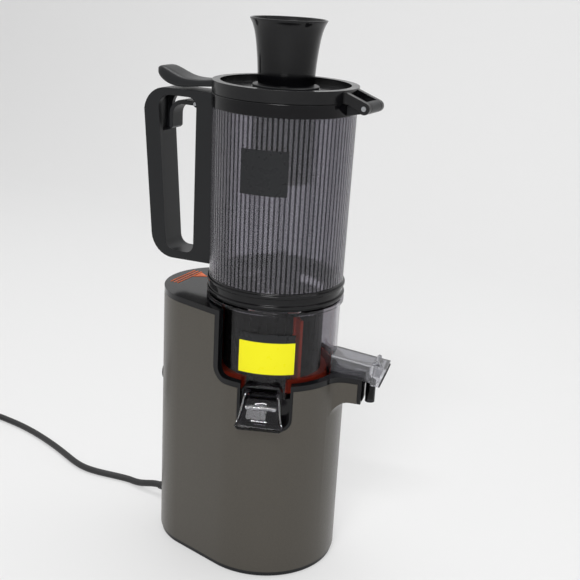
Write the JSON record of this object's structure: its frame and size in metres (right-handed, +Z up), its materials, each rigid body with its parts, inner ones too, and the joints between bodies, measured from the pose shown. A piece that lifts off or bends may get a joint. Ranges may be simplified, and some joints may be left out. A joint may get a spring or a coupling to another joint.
{
  "type": "cold press juicer",
  "caption": "Upright slow juicer: housing with an open front, clear bowl with spout and pulp chute, tall ribbed hopper with handle, hinged lid and plunger, mains cord.",
  "frame": {"origin": "on the table, under the vertical axis of the bowl, hopper and drive shaft", "axes": "+Z up along that axis, +X to the side of the juice spout, which points 12 degrees from it towards +Y, -Y towards the front with the pulp chute, -X towards the handle and the cord"},
  "size_m": [0.5905, 0.1433, 0.4745],
  "materials": {
    "painted_body": "satin metallic",
    "gloss_black": "polished",
    "satin_black": "fine moulded satin",
    "smoked_clear": "polished clear smoked plastic",
    "rubber_black": "matte",
    "silicone_red": "satin",
    "steel": "machined",
    "cast_alloy": "cast",
    "gear_plastic": "moulded",
    "board_green": "circuit board",
    "orange_mark": "printed",
    "yellow_panel": "printed film",
    "dark_panel": "printed film",
    "ferrite": "sintered magnet"
  },
  "bodies": {
    "root": {"base_plate": "satin_black", "rubber_feet": "rubber_black", "base_screws": "steel", "body_shell": "painted_body", "cradle": "gloss_black", "lock_marks": "orange_mark", "gearbox_housing": "cast_alloy", "gearbox_cover": "cast_alloy", "gearbox_screws": "steel", "motor_can": "steel", "motor_magnets": "ferrite", "motor_screws": "steel", "bearings": "steel", "shaft_seal": "rubber_black", "control_board": "board_green", "board_parts": "satin_black", "rotary_switch": "satin_black", "knob_bezel": "gloss_black", "cord_gland": "rubber_black", "power_cord": "rubber_black", "cord_coil": "rubber_black", "mains_plug": "rubber_black"},
    "rotor": {"motor_rotor": "steel", "drive_pinion": "steel", "cooling_fan": "satin_black"},
    "idler": {"idler_shaft": "steel", "idler_gear": "gear_plastic"},
    "output": {"output_gear": "gear_plastic", "drive_shaft": "steel"},
    "knob": {"control_knob": "satin_black"},
    "bowl": {"bowl": "smoked_clear", "hub_seal": "silicone_red", "juice_spout": "smoked_clear", "cap_pin": "steel", "pulp_chute": "smoked_clear", "strainer": "gloss_black", "silicone_scraper": "silicone_red", "bowl_panel": "yellow_panel"},
    "cap": {"spout_cap": "smoked_clear", "cap_gasket": "rubber_black"},
    "auger": {"auger": "gloss_black"},
    "hopper": {"hopper_foot": "smoked_clear", "hopper_drum": "smoked_clear", "top_band": "gloss_black", "hinge_bracket": "satin_black", "hinge_pin": "steel", "handle": "satin_black", "trigger_pin": "steel", "trigger_spring": "steel", "drum_panel": "dark_panel"},
    "trigger": {"trigger": "satin_black"},
    "lid": {"lid": "satin_black", "lid_gasket": "rubber_black"},
    "plunger": {"plunger": "gloss_black"}
  },
  "joints": [
    {"name": "motor_spin", "type": "hinge", "parent": "root", "child": "rotor", "pos_m": [-0.045, 0, 0], "axis": [0, 0, 1], "continuous": true},
    {"name": "idler_spin", "type": "hinge", "parent": "root", "child": "idler", "pos_m": [-0.02438, 0.02512, 0], "axis": [0, 0, 1], "continuous": true},
    {"name": "drive_spin", "type": "hinge", "parent": "root", "child": "output", "pos_m": [0, 0, 0], "axis": [0, 0, 1], "continuous": true},
    {"name": "knob_turn", "type": "hinge", "parent": "root", "child": "knob", "pos_m": [-0.104, 0, 0.147], "axis": [-1, 0, 0], "range_deg": [-45, 45]},
    {"name": "bowl_lift", "type": "slide", "parent": "root", "child": "bowl", "axis": [0, 0, 1], "range_m": [0, 0.09]},
    {"name": "auger_spin", "type": "hinge", "parent": "bowl", "child": "auger", "pos_m": [0, 0, 0], "axis": [0, 0, 1], "continuous": true},
    {"name": "cap_hinge", "type": "hinge", "parent": "bowl", "child": "cap", "pos_m": [0.09282, 0.01973, 0.19539], "axis": [0.2079, -0.9781, 0], "range_deg": [0, 75]},
    {"name": "hopper_lift", "type": "slide", "parent": "bowl", "child": "hopper", "axis": [0, 0, 1], "range_m": [0, 0.06]},
    {"name": "trigger_pull", "type": "hinge", "parent": "hopper", "child": "trigger", "pos_m": [-0.08, 0, 0.3987], "axis": [0, 1, 0], "range_deg": [0, 7], "stiffness_Nm_per_rad": 0.02, "springref_deg": -11.46},
    {"name": "lid_hinge", "type": "hinge", "parent": "hopper", "child": "lid", "pos_m": [0.076, 0, 0.4122], "axis": [0, 1, 0], "range_deg": [0, 100]},
    {"name": "plunger_lift", "type": "slide", "parent": "lid", "child": "plunger", "axis": [0, 0, 1], "range_m": [0, 0.11]}
  ],
  "couplings": [
    {"joint": "idler_spin", "follows": "motor_spin", "ratio": -0.3},
    {"joint": "drive_spin", "follows": "motor_spin", "ratio": 0.081818},
    {"joint": "auger_spin", "follows": "motor_spin", "ratio": 0.081818}
  ]
}
